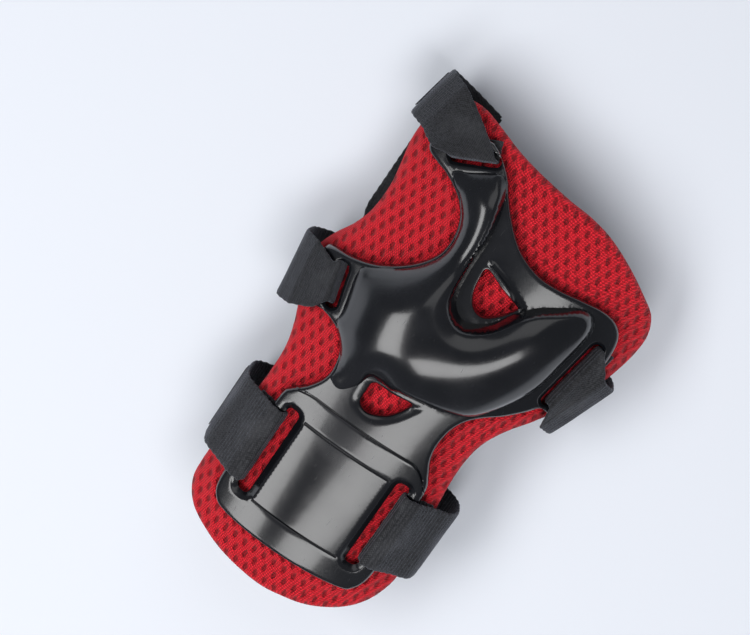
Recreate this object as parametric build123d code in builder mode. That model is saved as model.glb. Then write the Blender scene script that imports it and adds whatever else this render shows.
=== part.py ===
from build123d import *
import os
from math import cos, hypot, radians, sin, sqrt

# Wrist guard for the left hand, palm side up. +Y runs to the fingers, +X to the little finger, and
# the closed straps lie on z = 0. Outlines are drawn from the wrist, in the plane `palm`; that plane
# is placed so that the origin of the whole part is the middle of its base.

# ---- driving dimensions, mm -------------------------------------------------------------------
WRIST_X, WRIST_Y = -6.2, -13.0     # the wrist's place in the part's frame
CREST = 47.0                       # height of the pad's face along its middle
COVER, FOAM, LINING = 1.2, 5.2, 1.0  # thickness of the pad's three layers
PAD = COVER + FOAM + LINING
RIM_GAP = 0.3                      # the shell's rim stands this far off the pad
UNDERPASS = 2.5                    # height left under the shell's plate for the straps
PLATE = 2.6                        # wall thickness of the shell
RIM = 2.0                          # width of the rim below the plate
PANEL = 0.9                        # step up to the forearm panel
ELASTIC = 1.6                      # thickness of every strap
HOOK, LOOP = 0.8, 1.0              # thickness of the two halves of a hook-and-loop closure
CLEAR = 0.3                        # between pieces that move past one another
THREAD, STITCH = 0.4, 0.6          # how far bar tacks stand proud, and a seam's width and depth
FOREARM_STRAP, HAND_STRAP, THUMB_STRAP = 30.0, 28.0, 20.0  # strap widths
ARCH_ROWS = (-88.0, -40.0, 0.0, 40.0, 76.0, 114.0)  # where the arch is drawn, from the wrist
DOME_ROWS = tuple(2.0 + 10.0 * i for i in range(10))
DOME_MIDDLE, DOME_REACH, ACROSS = 5.0, 57.0, 9  # half the dome's width, in as many steps
FLOOR = -30.0                      # below everything
SINK = 0.5                         # the dome's skirt runs this far into the plate
DEEP = 120.0                       # more than the part is tall

# heights of the closed straps, from the ground up: flap, hook, gap, loop, anchor
HOOK_Z = ELASTIC
LOOP_Z = HOOK_Z + HOOK + CLEAR
ANCHOR_Z = LOOP_Z + LOOP

palm = Plane(origin=(WRIST_X, WRIST_Y, 0))


# ---- the arch that pad and shell are bent over --------------------------------------------------
def ease(low, high, value):
    """0 below low, 1 above high, and a smooth step between them."""
    t = min(1.0, max(0.0, (value - low) / (high - low)))
    return t * t * (3 - 2 * t)


def arch(x, y, lift=0.0):
    """Height of the arch at (x, y) from the wrist, lifted off the pad's face along its normal.

    Each cross section is a circle, tighter at the forearm than at the fingers. The crest drifts to
    the little-finger side and bends down towards the fingers."""
    crest = CREST - 8.0 * (max(y, 0.0) / 105.0) ** 2
    return crest - arch_radius(y) + sqrt((arch_radius(y) + lift) ** 2 - (x - arch_middle(y)) ** 2)


# Ridges of the moulded dome: start and end (x, y, half width, height above the plate).
CENTRE = (0.0, 25.0, 19.0, 12.0)
RIDGES = (
    (CENTRE, (-35.0, 23.5, 10.5, 5.0)),      # to the thumb-side slot
    (CENTRE, (41.0, 47.0, 17.0, 7.0)),       # to the little-finger slot
    ((-4.0, 32.0, 13.0, 10.5), (-5.5, 60.0, 7.0, 8.0)),   # between thumb and index finger
    ((-5.5, 60.0, 7.0, 8.0), (-15.0, 80.0, 9.5, 4.0)),
)


def ridge(x, y, start, end):
    """Height of one ridge: a rounded back that runs out smoothly to nothing at its half width."""
    (x0, y0, w0, h0), (x1, y1, w1, h1) = start, end
    run, rise = x1 - x0, y1 - y0
    t = min(1.0, max(0.0, ((x - x0) * run + (y - y0) * rise) / (run * run + rise * rise)))
    off = hypot(x - x0 - t * run, y - y0 - t * rise) / (w0 + t * (w1 - w0))
    return (h0 + t * (h1 - h0)) * max(0.0, 1 - off * off) ** 1.3


def dome(x, y):
    """Height of the dome above the plate: its ridges melted into one another."""
    return sum(ridge(x, y, *ends) ** 4 for ends in RIDGES) ** 0.25


def arch_radius(y):
    return 62.0 + 32.0 * (y + 80.0) / 185.0


def arch_middle(y):
    return 9.0 * ease(-10.0, 80.0, y)


def section(y, curve, points):
    """Sketch of the cross section below a curve through points (x, z), at y from the wrist."""
    points = [(x + WRIST_X, z) for x, z in points]
    (first_x, first_z), (last_x, last_z) = points[0], points[-1]
    with BuildSketch(Plane.XZ.offset(-WRIST_Y - y)) as sketch:
        with BuildLine():
            curve(*points)
            Polyline((last_x, last_z), (last_x, FLOOR), (first_x, FLOOR), (first_x, first_z))
        make_face()
    return sketch.sketch


def lifted(lift):
    """Everything below the arch lifted by that much: a loft through circular cross sections."""
    with BuildPart() as block:
        for y in ARCH_ROWS:
            reach = 0.84 * (arch_radius(y) - PAD)
            xs = [arch_middle(y) + side * reach for side in (-1, 0, 1)]
            add(section(y, ThreePointArc, [(x, arch(x, y, lift)) for x in xs]))
        loft()
    return block.part


def domed(lift):
    """Everything below the dome lifted by that much. Its skirt lies a little inside the plate."""
    with BuildPart() as block:
        for y in DOME_ROWS:
            xs = [DOME_MIDDLE + DOME_REACH * i / ACROSS for i in range(-ACROSS, ACROSS + 1)]
            add(section(y, Spline, [(x, arch(x, y, lift) + dome(x, y) - SINK) for x in xs]))
        loft()
    return block.part


below_face = lifted(0.0)
below_cover = lifted(-COVER)
below_foam = lifted(-COVER - FOAM)
below_lining = lifted(-PAD)
below_rim = lifted(RIM_GAP)
below_roof = lifted(UNDERPASS)
below_shell = lifted(UNDERPASS + PLATE)
below_panel = lifted(UNDERPASS + PLATE + PANEL)
below_step = lifted(UNDERPASS + PLATE - SINK)
below_dome = domed(UNDERPASS + PLATE)
below_vault = domed(UNDERPASS)


# ---- outlines -----------------------------------------------------------------------------------
# Corners of the pad, going round from the forearm end, each with its rounding radius.
PAD_CORNERS = (
    ((0, -80.5), 110), ((-42, -75), 17), ((-39, -22), 60), ((-38.5, -6), 40), ((-47, 12), 30),
    ((-52, 33), 6), ((-38, 52), 30), ((-40, 68), 30), ((-45, 80), 12), ((-38, 107), 9),
    ((-8, 98.5), 60), ((38, 93), 70), ((66.5, 76), 17), ((63, 42), 20), ((38, 12), 45),
    ((35.5, -12), 45), ((42, -38), 40), ((41, -73), 24),
)


def pad_outline():
    points = [point for point, bend in PAD_CORNERS]
    return FilletPolyline(*points, radius=[bend for point, bend in PAD_CORNERS], close=True)


def shell_outline():
    """The shell's edge: forearm plate, waist, three arms, and the hollows between them."""
    with BuildSketch() as sketch:
        with BuildLine():
            Polyline((-25, -66), (25, -66))
            ThreePointArc((25, -66), (31.5, -63), (33.5, -56))
            Line((33.5, -56), (32, -18))
            ThreePointArc((32, -18), (25.5, -1), (31, 13))
            ThreePointArc((31, 13), (40, 19.5), (49, 29))
            Polyline((49, 29), (54.5, 27), (58, 58))
            ThreePointArc((58, 58), (54.5, 66), (46, 69))
            ThreePointArc((46, 69), (18, 67.5), (-6, 87.5))
            Polyline((-6, 87.5), (-11.5, 91.5), (-18.5, 96), (-37, 87), (-36.5, 79.5), (-26, 77.5))
            ThreePointArc((-26, 77.5), (-11.3, 60), (-21, 43))
            ThreePointArc((-21, 43), (-32, 36.5), (-46.5, 32.5))
            Polyline((-46.5, 32.5), (-43.5, 12.5), (-34, 14))
            ThreePointArc((-34, 14), (-20, 0), (-30, -18))
            Line((-30, -18), (-31.5, -58))
            ThreePointArc((-31.5, -58), (-29.8, -63.8), (-25, -66))
        make_face()
    return sketch.sketch


# Strap slots: centre, the way the strap leaves (degrees from +X), slot length and width, and the
# bar beyond it that the strap turns back round.
SLOTS = {
    "forearm_thumb_side": ((-22.6, -38.5), 180.0, 35.0, 5.0, 6.4),
    "forearm_little_side": ((24.2, -38.5), 0.0, 35.0, 5.0, 6.2),
    "hand_thumb_side": ((-35.3, 24.0), 196.0, 16.0, 4.4, 8.2),
    "hand_little_side": ((50.0, 44.0), -9.0, 28.5, 4.0, 4.6),
    "index": ((-20.3, 87.6), 117.0, 18.0, 4.0, 4.2),
}
HALF_MOON = ((-5.5, 5), (9.5, 6), (5.5, -1.5), (-2, -5), (-6.2, -2))
THREE_CORNER = ((4, 59.5), (20.5, 54.5), (14, 44.5), (4.5, 49))
FOREARM_PANEL = ((1.2, -38.8), 33.5, 33.0)  # centre, width across, length


def slot_plane(name, lift):
    """Plane on the arch at a slot: x leaves along the strap, y runs along the slot, z stands off."""
    (x, y), turn, *_ = SLOTS[name]
    slope = (arch(x + 1, y) - arch(x - 1, y)) / 2, (arch(x, y + 1) - arch(x, y - 1)) / 2
    normal = Vector(-slope[0], -slope[1], 1).normalized()
    out = Vector(cos(radians(turn)), sin(radians(turn)), 0)
    out = (out - normal * out.dot(normal)).normalized()
    middle = Vector(x + WRIST_X, y + WRIST_Y, arch(x, y)) + normal * lift
    return Plane(origin=middle, x_dir=out, z_dir=normal)


# ---- palm shell ---------------------------------------------------------------------------------
def shell_prism(inset):
    with BuildPart() as prism:
        with BuildSketch(palm):
            add(shell_outline())
            if inset:
                offset(amount=-inset, mode=Mode.REPLACE)
        extrude(amount=DEEP)
    return prism.part


def common(prism, *limits):
    """What the prism shares with each of the limits in turn."""
    with BuildPart() as shared:
        add(prism)
        for limit in limits:
            add(limit, mode=Mode.INTERSECT)
    return shared.part


with BuildPart() as panel:
    (panel_x, panel_y), panel_width, panel_length = FOREARM_PANEL
    with BuildSketch(palm):
        with Locations((panel_x, panel_y)):
            RectangleRounded(panel_width, panel_length, 1.2)
    extrude(amount=DEEP)
    add(below_panel, mode=Mode.INTERSECT)
    add(below_step, mode=Mode.SUBTRACT)

with BuildPart() as palm_shell:
    outer, inner = shell_prism(0), shell_prism(RIM)
    add(common(outer, below_shell))
    add(common(outer, below_dome))
    add(common(inner, below_roof), mode=Mode.SUBTRACT)
    add(common(inner, below_vault), mode=Mode.SUBTRACT)
    add(below_rim, mode=Mode.SUBTRACT)
    add(panel.part)
    with BuildSketch(palm):
        for corners in (HALF_MOON, THREE_CORNER):
            with BuildLine():
                FilletPolyline(*corners, radius=2.2, close=True)
            make_face()
    extrude(amount=DEEP, mode=Mode.SUBTRACT)
    for name, (centre, turn, length, width, bar) in SLOTS.items():
        with BuildSketch(slot_plane(name, 0)):
            RectangleRounded(width, length, 1.6)
        extrude(amount=16, both=True, mode=Mode.SUBTRACT)
        # the rim is open under the bar, so that the strap can leave
        with BuildSketch(slot_plane(name, 0)):
            with Locations((width / 2 + bar / 2 + 3, 0)):
                Rectangle(bar + 6, length)
        extrude(amount=UNDERPASS - 0.1, mode=Mode.SUBTRACT)


# ---- pad: mesh cover turned round a foam core, closed by a lining ---------------------------------
def pad_slab(inset):
    with BuildPart() as slab:
        with BuildSketch(palm):
            with BuildLine():
                pad_outline()
            make_face()
            if inset:
                offset(amount=-inset, mode=Mode.REPLACE)
        extrude(amount=DEEP)
    return slab.part


core_prism = pad_slab(COVER)
with BuildPart() as pad_core:
    add(core_prism)
    add(below_cover, mode=Mode.INTERSECT)

with BuildPart() as pad_mesh_cover:
    add(pad_slab(0))
    add(below_face, mode=Mode.INTERSECT)
    add(pad_core.part, mode=Mode.SUBTRACT)
    add(below_lining, mode=Mode.SUBTRACT)

with BuildPart() as pad_foam:
    add(pad_core.part)
    add(below_foam, mode=Mode.SUBTRACT)

with BuildPart() as pad_lining:
    add(core_prism)
    add(below_foam, mode=Mode.INTERSECT)
    add(below_lining, mode=Mode.SUBTRACT)


# ---- straps -------------------------------------------------------------------------------------
OVER, UNDER, SEWN = 6.4, 1.3, 2.8  # strap centre above the pad: over a bar, under it, sewn double
TUCK = 5.5                         # the end under the bar reaches this far past it, to be sewn


def drop(name, s):
    """How far the arch has fallen below a slot's plane, s along the way the strap leaves."""
    (x, y), turn, *_ = SLOTS[name]
    return (s * cos(radians(turn))) ** 2 / (2 * arch_radius(y))


def bar_loop(name, width, tuck=TUCK):
    """A strap's end: in under the bar, up through the slot and back over the bar."""
    _, _, _, slot_width, bar = SLOTS[name]
    edge = slot_width / 2 + bar
    near = slot_width / 2 - ELASTIC / 2 - 0.4
    line = [(edge + tuck, UNDER), (near, UNDER), (near, OVER), (edge, OVER)]
    flat = slot_plane(name, 0)
    with BuildPart() as loop:
        with BuildSketch(Plane(flat.origin, x_dir=flat.x_dir, z_dir=flat.x_dir.cross(flat.z_dir))):
            with BuildLine() as path:
                FilletPolyline(*[(s, h - drop(name, s)) for s, h in line], radius=[1, 1])
            trace(path.line, line_width=ELASTIC)
        extrude(amount=width / 2, both=True)
    return loop.part


def upright(x, y, turn):
    """Upright plane through (x, y) from the wrist: its x points to `turn` in plan, its y is up."""
    out = (cos(radians(turn)), sin(radians(turn)), 0)
    return Plane(origin=(x + WRIST_X, y + WRIST_Y, 0), x_dir=out, z_dir=(out[1], -out[0], 0))


def band(plane, route, bends, width):
    """A strap along a route drawn in an upright plane."""
    with BuildPart() as strip:
        with BuildSketch(plane):
            with BuildLine() as path:
                FilletPolyline(*route, radius=bends)
            trace(path.line, line_width=ELASTIC)
        extrude(amount=width / 2, both=True)
    return strip.part


def flat_piece(plane, start, end, bottom, height, width, corner):
    """A level strip with rounded corners, from start to end along an upright plane."""
    ground = Plane(origin=plane.origin, x_dir=plane.x_dir, z_dir=(0, 0, 1)).offset(bottom)
    with BuildPart() as strip:
        with BuildSketch(ground):
            with Locations(((start + end) / 2, 0)):
                RectangleRounded(abs(end - start), width, corner)
        extrude(amount=height)
    return strip.part


def tacks(plane, outer_face, out, middle, width):
    """Two rows of thread sewn across the outside of a strap's upright stretch."""
    with BuildPart() as rows:
        for height in (middle - 2, middle + 2):
            with BuildSketch(plane):
                with Locations((outer_face + out * THREAD / 2, height)):
                    Rectangle(THREAD, 1.2)
            extrude(amount=width / 2 - 2, both=True)
    return rows.part


def seam(plane, start, end, bottom, width):
    """A flat frame of thread, a little inside the edge of a patch."""
    with BuildPart() as frame:
        add(flat_piece(plane, start, end, bottom, STITCH, width, 1.5))
        inset = STITCH if end > start else -STITCH
        add(flat_piece(plane, start + inset, end - inset, bottom, STITCH, width - 2 * STITCH, 1),
            mode=Mode.SUBTRACT)
    return frame.part


def trimmed(strap, *harder):
    """The strap less whatever stiffer piece it is pressed against."""
    for piece in harder:
        strap = strap - piece
    return max(strap.solids(), key=lambda solid: solid.volume)


forearm_plane = upright(0, -38.5, 0)
hand_plane = upright(4.0, 26.75, 7.44)
little_plane = upright(59.5, 34.0, -20)
index_plane = upright(-27.0, 93.0, 168)
thumb_plane = upright(-30.5, 0, 90)
strap_z, anchor_z = ELASTIC / 2, ANCHOR_Z + ELASTIC / 2


def forearm_height(x, lift):
    return arch(x, -38.5, lift)


# forearm strap: anchor on the little-finger side, closing strap on the thumb side
with BuildPart() as forearm_strap_base:
    add(bar_loop("forearm_thumb_side", FOREARM_STRAP))
    route = [(-26, forearm_height(-26, OVER)), (-33.2, forearm_height(-33.2, OVER)),
             (-38, forearm_height(-38, SEWN)), (-43.4, 33.5), (-45.4, 25), (-45.4, 9),
             (-37, strap_z), (-24, strap_z)]
    add(band(forearm_plane, route, [2, 2, 4, 5, 6, 6], FOREARM_STRAP))
forearm_strap_tacks = tacks(forearm_plane, -45.4 - ELASTIC / 2, -1, 18, FOREARM_STRAP)

with BuildPart() as forearm_anchor:
    add(bar_loop("forearm_little_side", FOREARM_STRAP))
    route = [(27, forearm_height(27, OVER)), (34.8, forearm_height(34.8, OVER)),
             (39.5, forearm_height(39.5, SEWN)), (45.2, 33), (47.2, 25), (47.2, 13),
             (38, anchor_z), (-7, anchor_z)]
    add(band(forearm_plane, route, [2, 2, 4, 5, 6, 6], FOREARM_STRAP))
    loop_seam = seam(forearm_plane, -4, 33, LOOP_Z, FOREARM_STRAP - 5)
forearm_anchor_tacks = tacks(forearm_plane, 47.2 + ELASTIC / 2, 1, 18, FOREARM_STRAP)

with BuildPart() as forearm_loop_patch:
    add(flat_piece(forearm_plane, -5, 34, LOOP_Z, LOOP, FOREARM_STRAP - 3, 2))
    add(loop_seam, mode=Mode.SUBTRACT)
forearm_loop_stitching = loop_seam

forearm_hook_stitching = seam(forearm_plane, 1, 31, 0, FOREARM_STRAP - 6)
with BuildPart() as forearm_strap_flap:
    add(flat_piece(forearm_plane, -23.7, 35, 0, ELASTIC, FOREARM_STRAP, 1.5))
    add(forearm_hook_stitching, mode=Mode.SUBTRACT)
with BuildPart() as forearm_hook_patch:
    add(flat_piece(forearm_plane, 0, 32, HOOK_Z, HOOK, FOREARM_STRAP - 4, 2))

# hand strap: anchor on the thumb side, closing strap on the little-finger side
with BuildPart() as hand_anchor:
    add(bar_loop("hand_thumb_side", 15.0, 2.5))
    route = [(-44, arch(-39.6, 21.1, OVER)), (-52.5, arch(-48.1, 20.0, OVER)), (-57.8, 30),
             (-57.8, 13), (-49, anchor_z), (-12.5, anchor_z)]
    add(band(hand_plane, route, [3, 4, 6, 6], HAND_STRAP - 3))
hand_anchor_tacks = tacks(hand_plane, -57.8 - ELASTIC / 2, -1, 20, HAND_STRAP - 3)

with BuildPart() as hand_strap_base:
    add(bar_loop("hand_little_side", HAND_STRAP - 1, 1.5))
    route = [(-4.5, arch(55.3, 35.5, OVER + 1)), (-1.0, arch(58.5, 34.3, OVER)), (2.4, 28),
             (2.4, 11), (-6, strap_z), (-12, strap_z)]
    add(band(little_plane, route, [2, 4, 6, 6], HAND_STRAP))
    add(flat_piece(hand_plane, 36, 50, 0, ELASTIC, HAND_STRAP, 1.5))
hand_strap_tacks = tacks(little_plane, 2.4 + ELASTIC / 2, 1, 19, HAND_STRAP)

hand_loop_stitching = seam(hand_plane, -14.5, -46, LOOP_Z, HAND_STRAP - 6)
with BuildPart() as hand_loop_patch:
    add(flat_piece(hand_plane, -13.5, -47, LOOP_Z, LOOP, HAND_STRAP - 4, 2))
    add(hand_loop_stitching, mode=Mode.SUBTRACT)

hand_hook_stitching = seam(hand_plane, -15, -41, 0, HAND_STRAP - 6)
with BuildPart() as hand_strap_flap:
    add(flat_piece(hand_plane, 35.7, -45, 0, ELASTIC, HAND_STRAP, 1.5))
    add(hand_hook_stitching, mode=Mode.SUBTRACT)
with BuildPart() as hand_hook_patch:
    add(flat_piece(hand_plane, -14, -42, HOOK_Z, HOOK, HAND_STRAP - 4, 2))

# thumb band: from the index-finger slot round the pad and behind the thumb to the hand anchor
with BuildPart() as thumb_band:
    add(bar_loop("index", THUMB_STRAP - 3, 3))
    route = [(-4, arch(-23, 92, OVER)), (12, arch(-38.7, 95.5, OVER)), (19.5, 26), (19.5, 12),
             (10, 5.5), (-4, 5.5)]
    add(band(index_plane, route, [3, 5, 5, 5], THUMB_STRAP))
    route = [(101, 5.5), (86, 5.5), (78, 1.2), (47, 1.2), (39, 6.15), (14, 6.15)]
    add(band(thumb_plane, route, [10, 10, 10, 10], THUMB_STRAP))
thumb_band_tacks = tacks(index_plane, 19.5 + ELASTIC / 2, 1, 19, THUMB_STRAP)

# ---- export -------------------------------------------------------------------------------------
os.makedirs("parts", exist_ok=True)
pieces = {
    "palm_shell": palm_shell.part,
    "pad_mesh_cover": pad_mesh_cover.part,
    "pad_foam": pad_foam.part,
    "pad_lining": pad_lining.part,
    "forearm_strap_base": trimmed(forearm_strap_base.part, palm_shell.part, pad_mesh_cover.part),
    "forearm_strap_tacks": forearm_strap_tacks,
    "forearm_strap_flap": forearm_strap_flap.part,
    "forearm_hook_patch": forearm_hook_patch.part,
    "forearm_hook_stitching": forearm_hook_stitching,
    "forearm_anchor": trimmed(forearm_anchor.part, palm_shell.part, pad_mesh_cover.part),
    "forearm_anchor_tacks": forearm_anchor_tacks,
    "forearm_loop_patch": forearm_loop_patch.part,
    "forearm_loop_stitching": forearm_loop_stitching,
    "hand_strap_base": trimmed(hand_strap_base.part, palm_shell.part),
    "hand_strap_tacks": hand_strap_tacks,
    "hand_strap_flap": hand_strap_flap.part,
    "hand_hook_patch": hand_hook_patch.part,
    "hand_hook_stitching": hand_hook_stitching,
    "hand_anchor": trimmed(hand_anchor.part, palm_shell.part),
    "hand_anchor_tacks": hand_anchor_tacks,
    "hand_loop_patch": hand_loop_patch.part,
    "hand_loop_stitching": hand_loop_stitching,
    "thumb_band": trimmed(thumb_band.part, palm_shell.part),
    "thumb_band_tacks": thumb_band_tacks,
}
for name, piece in pieces.items():
    piece.label = name
    export_step(piece, f"parts/{name}.step")
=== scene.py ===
from math import cos, pi, radians, sin

import bpy
import numpy as np
from mathutils import Matrix, Vector
from mathutils.geometry import delaunay_2d_cdt
from mathutils.kdtree import KDTree


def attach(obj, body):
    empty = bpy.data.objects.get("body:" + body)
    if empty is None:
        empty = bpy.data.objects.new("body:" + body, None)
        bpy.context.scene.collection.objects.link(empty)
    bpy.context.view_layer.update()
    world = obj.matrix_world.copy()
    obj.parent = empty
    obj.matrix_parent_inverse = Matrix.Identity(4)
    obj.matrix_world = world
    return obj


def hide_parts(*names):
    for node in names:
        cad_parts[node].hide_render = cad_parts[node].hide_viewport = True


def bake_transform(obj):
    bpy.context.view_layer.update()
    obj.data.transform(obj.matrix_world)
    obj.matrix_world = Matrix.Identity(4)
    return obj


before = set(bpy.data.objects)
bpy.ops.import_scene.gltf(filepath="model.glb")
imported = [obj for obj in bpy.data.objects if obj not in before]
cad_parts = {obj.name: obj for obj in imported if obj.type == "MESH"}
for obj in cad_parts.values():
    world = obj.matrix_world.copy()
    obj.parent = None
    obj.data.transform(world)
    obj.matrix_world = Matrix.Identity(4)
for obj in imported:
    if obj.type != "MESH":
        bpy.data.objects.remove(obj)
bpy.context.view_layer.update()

# All outlines below are in millimetres from the wrist; +Y runs to the fingers, +X to the little
# finger. WRIST places that frame in the row frame, and MM turns millimetres into metres.
MM = 0.001
WRIST = np.array((-6.2, -13.0, 0.0))
CREST, PAD = 47.0, 7.4            # height of the pad's face, and its thickness
GAP, ROOF, WALL = 0.3, 2.5, 2.6   # rim's clearance, room under the shell's plate, its wall
rng = np.random.default_rng(7)


# ---- the arch, as in part.py --------------------------------------------------------------------
def ease(low, high, value):
    t = np.clip((value - low) / (high - low), 0, 1)
    return t * t * (3 - 2 * t)


def arch_radius(y):
    """62 mm at the forearm end of the pad and 94 mm at its finger end."""
    return 62 + 32 * (y + 80) / 185


def arch(x, y, lift=0.0):
    """Height of the pad's face, lifted along its normal. The crest drifts to the little-finger side
    and bends down towards the fingers."""
    radius = arch_radius(y)
    crest = CREST - 8 * (np.maximum(y, 0) / 105) ** 2
    return crest - radius + np.sqrt((radius + lift) ** 2 - (x - 9 * ease(-10, 80, y)) ** 2)


# ---- outlines -----------------------------------------------------------------------------------
def spaced(line, at=None, step=None):
    """The polyline's places at the given runs along it, or a step apart."""
    run = np.concatenate(([0], np.cumsum(np.linalg.norm(np.diff(line, axis=0), axis=1))))
    if at is None:
        at = np.arange(0, run[-1], step)
    return np.stack([np.interp(at, run, line[:, k]) for k in range(line.shape[1])], axis=1)


def curve_through(points, step, closed=True):
    """Points a step apart along a smooth curve through the given ones."""
    p = np.array(points, float)
    n = len(p)
    dense = []
    for i in range(n if closed else n - 1):
        a, b, c, d = (p[(i + k) % n] if closed else p[min(max(i + k, 0), n - 1)]
                      for k in (-1, 0, 1, 2))
        t = np.linspace(0, 1, 40, endpoint=False)[:, None]
        dense.append(0.5 * (2 * b + (c - a) * t + (2 * a - 5 * b + 4 * c - d) * t ** 2
                            + (3 * b - a - 3 * c + d) * t ** 3))
    dense = np.vstack(dense + [p[:1] if closed else p[-1:]])
    length = np.linalg.norm(np.diff(dense, axis=0), axis=1).cumsum()[-1]
    count = max(3, int(round(length / step)))
    found = spaced(dense, np.linspace(0, length, count + 1))
    return found[:-1] if closed else found


def rounded_slot(centre, turn, length, width, radius=1.9, step=0.5):
    """Rounded rectangle whose long side lies square to the direction `turn`."""
    corners, half = [], (width / 2 - radius, length / 2 - radius)
    for quarter in range(4):
        sx, sy = ((1, 1), (-1, 1), (-1, -1), (1, -1))[quarter]
        for k in range(7):
            angle = pi / 2 * (quarter + k / 6)
            corners.append((sx * half[0] + radius * cos(angle), sy * half[1] + radius * sin(angle)))
    c, s = cos(radians(turn)), sin(radians(turn))
    corners = [(centre[0] + x * c - y * s, centre[1] + x * s + y * c) for x, y in corners]
    return spaced(np.array(corners + corners[:1]), step=step)


SHELL = curve_through((
    (-23, -66.3), (0, -66.9), (25, -66.1), (30.8, -63.6), (33.3, -57), (33, -45), (32.4, -30),
    (31.5, -18.5), (29, -13), (26.3, -7.5), (25.3, -1.5), (26, 5), (28.5, 10.5), (33, 15),
    (38.5, 19), (44, 24), (48, 28), (52, 27.6), (54.8, 29.5), (56.4, 37), (57.4, 46), (57.8, 56),
    (56.2, 63.5), (52, 67.6), (46, 69), (38, 68.4), (28, 67.2), (20, 67.4), (12, 70), (6.5, 73.5),
    (1, 78.5), (-3.5, 83.5), (-7, 88), (-11.5, 91.8), (-16, 94.6), (-20, 95.2), (-28, 91.5),
    (-35, 87.8), (-36.8, 84), (-35.3, 80.6), (-31, 79), (-25, 77.3), (-18, 73.5), (-13.3, 68),
    (-11.4, 61), (-12, 54.5), (-15.5, 48.5), (-21, 43), (-28, 38.2), (-36, 35), (-44, 33.2),
    (-46.6, 31), (-45.8, 24), (-44.2, 16), (-42.3, 13), (-38.5, 13.2), (-34, 14), (-27.5, 12.3),
    (-22.5, 8), (-20.2, 2), (-20.3, -4), (-23.5, -10), (-28, -15), (-30, -19), (-30.8, -35),
    (-31.4, -50), (-31.3, -58.5), (-29.2, -63.8)), 0.5)
HALF_MOON = curve_through((
    (-5.2, 5), (2, 5.3), (8.4, 6.1), (9.6, 5.2), (7.6, 1.4), (5, -2), (1, -4.5), (-2.6, -5.1),
    (-5.6, -3.4), (-6, 0.5)), 0.4)
THREE_CORNER = curve_through((
    (4.6, 59.6), (12, 57), (19.6, 54.8), (20.2, 53.6), (16.8, 48.8), (12.4, 45.4), (8.2, 46.2),
    (5.2, 50.2), (4, 56)), 0.4)
SLOTS = {
    "forearm_thumb": ((-22.6, -38.5), 180, 35.5, 5.2),
    "forearm_little": ((24.2, -38.5), 0, 35.5, 5.2),
    "hand_thumb": ((-35.3, 24), 196, 16.4, 4.6),
    "hand_little": ((50, 44), -9, 28.8, 4.2),
    "index": ((-20.3, 87.6), 117, 18.2, 4.2),
}
SLOT_LOOPS = [rounded_slot(*shape) for shape in SLOTS.values()]
# Foot of the moulded dome: a sharp crease on the palm side and in the V between the arms, then the
# thumb side, where it runs out gently into the shell's edge.
SHARP_FOOT = (
    (3, 7), (13, 8.5), (21, 10.2), (28.5, 13), (34, 18.5), (40, 27.5), (43.6, 36),
    (45.4, 46), (46.8, 55), (46.6, 62), (43.6, 66), (38.5, 66), (32.5, 62.6), (26, 58.3),
    (20.5, 52.2), (15.5, 45), (8.5, 40.8), (3, 43.2), (0.6, 48.5), (-0.3, 57), (-0.5, 67),
    (-2, 76), (-5, 84), (-9, 88.3))
SOFT_FOOT = (
    (-13.5, 86.6), (-19, 83), (-24, 79.8), (-22, 77.3), (-17.2, 74.1), (-12.4, 68),
    (-10.5, 61), (-11.1, 54.3), (-14.8, 47.9), (-20.5, 42.2), (-27.4, 37.4), (-31.3, 34.6),
    (-31.6, 30.5), (-29.9, 23.5), (-28.6, 18), (-28, 14.4), (-23.6, 9.6), (-20.4, 5.6),
    (-18.8, 1), (-18.4, -3), (-14, -4), (-9.6, 1), (-7, 6.2))
FOOT = curve_through(SHARP_FOOT + SOFT_FOOT, 0.5)
CREASE = curve_through(SHARP_FOOT, 0.5, closed=False)
RUN_OUT = curve_through(SOFT_FOOT, 0.5, closed=False)
# the hollow round the half-moon window
SCOOP = curve_through((
    (-9.6, -2), (-8.8, 4.6), (-3, 6.4), (6, 6.9), (14.2, 7.6), (12.2, 2.4), (7.6, -3.6),
    (2, -7.4), (-4, -7.6), (-8.2, -5.6)), 0.5)
# raised panel between the forearm straps: its sides, and its two ends
PANEL_X, PANEL_Y = (-17.5, 18.9), (-55.5, -22.0)
PANEL_LINES = [np.stack([np.arange(-17.6, 19.2, 0.5), np.full(74, y)], axis=1) for y in PANEL_Y]
# the small lip over the three-cornered window
LIP = curve_through(((4.6, 62), (13, 59.4), (21.8, 55.4)), 0.4, closed=False)
# The pad's edge, turned to run counterclockwise as SHELL does. PAD_SHIFT allows for it lying lower
# than the shell, which a tilted view shows as a shift.
PAD_SHIFT = (1.0, -3.0)
PAD_EDGE = curve_through((
    (0, -79.8), (-15, -78.4), (-26, -76), (-35.5, -72.3), (-40.8, -66), (-41.8, -57), (-41.3, -45),
    (-40, -30), (-39.2, -15), (-39.6, -4), (-42, 5), (-46, 14), (-49.5, 24), (-50.6, 31),
    (-48, 38.5), (-44, 46), (-41.5, 54), (-41, 64), (-42.4, 73), (-44.2, 82), (-43.8, 92),
    (-41, 100), (-36, 104.6), (-28.5, 105.6), (-20, 103.6), (-10, 100.6), (0, 98.6), (13, 96.8),
    (24, 95.8), (34, 93.3), (45, 88.4), (55, 82.6), (61.5, 78), (64.9, 71.5), (65.2, 64),
    (63.6, 55), (60, 43), (55, 32.5), (49, 23.6), (43, 16), (38.8, 8.5), (37, 1), (36.8, -8),
    (38, -20), (40.2, -35), (41.5, -47), (41.2, -57), (37.6, -66), (30.5, -72.6), (20, -77.2),
    (10, -79)), 0.7)[::-1] + PAD_SHIFT


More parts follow.
